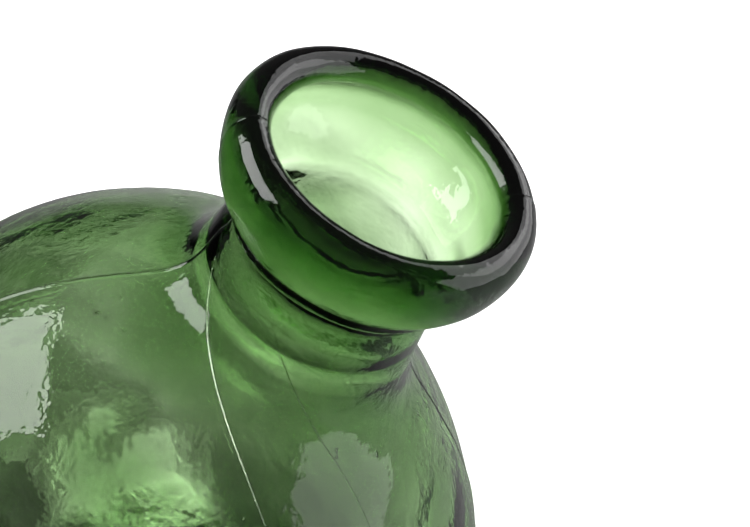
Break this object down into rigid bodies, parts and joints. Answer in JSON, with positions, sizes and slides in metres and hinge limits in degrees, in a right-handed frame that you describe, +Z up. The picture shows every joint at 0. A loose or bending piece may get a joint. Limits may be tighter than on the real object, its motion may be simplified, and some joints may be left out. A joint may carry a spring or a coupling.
{
  "type": "glass carboy",
  "caption": "Leaning green glass carboy: round blown body on a flat foot, short wide neck leaning to one side, collar and heavy rolled lip.",
  "frame": {"origin": "middle of the foot, on the surface that the carboy stands on", "axes": "+Z up; the neck leans towards +X and the mould seam lies in the XZ plane"},
  "size_m": [0.298, 0.28, 0.3628],
  "materials": {
    "bottle_glass": "clear green blown glass, slightly wavy, with fine seeds",
    "finish_glass": "the same glass, thick and tooled, fire-polished"
  },
  "bodies": {
    "root": {"base": "bottle_glass", "body_front": "bottle_glass", "body_rear": "bottle_glass", "neck": "bottle_glass", "neck_collar": "finish_glass", "lip_ring": "finish_glass"}
  },
  "joints": []
}
